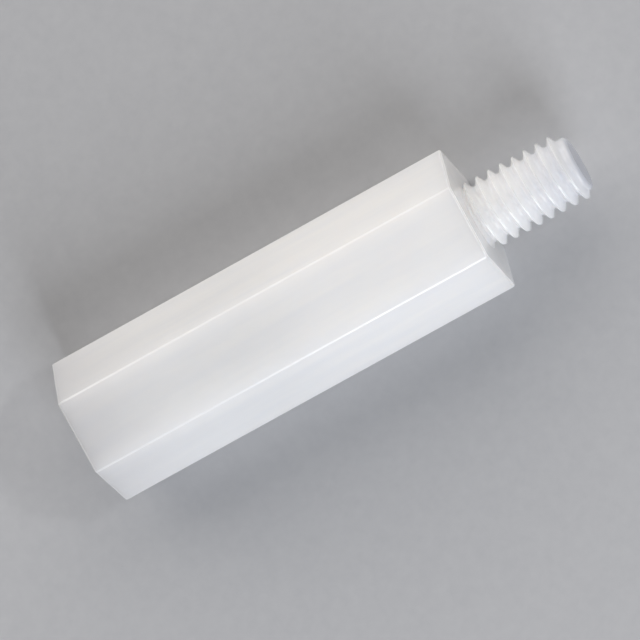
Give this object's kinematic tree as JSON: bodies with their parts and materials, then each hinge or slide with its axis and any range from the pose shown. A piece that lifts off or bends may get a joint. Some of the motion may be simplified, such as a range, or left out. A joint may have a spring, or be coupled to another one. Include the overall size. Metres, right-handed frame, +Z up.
{
  "type": "hex standoff",
  "caption": "Moulded nylon hex standoff with a threaded stud on one end and a blind threaded hole in the other.",
  "frame": {"origin": "on the thread axis, in the plane of the shoulder that the stud stands on", "axes": "+X along the thread axis, out of the stud's tip; +Z up, normal to the flat opposite the one it lies on"},
  "size_m": [0.0188, 0.0052, 0.0044],
  "materials": {
    "nylon": "natural white moulded nylon, satin, slightly translucent"
  },
  "bodies": {
    "root": {"hex_standoff": "nylon"}
  },
  "joints": []
}
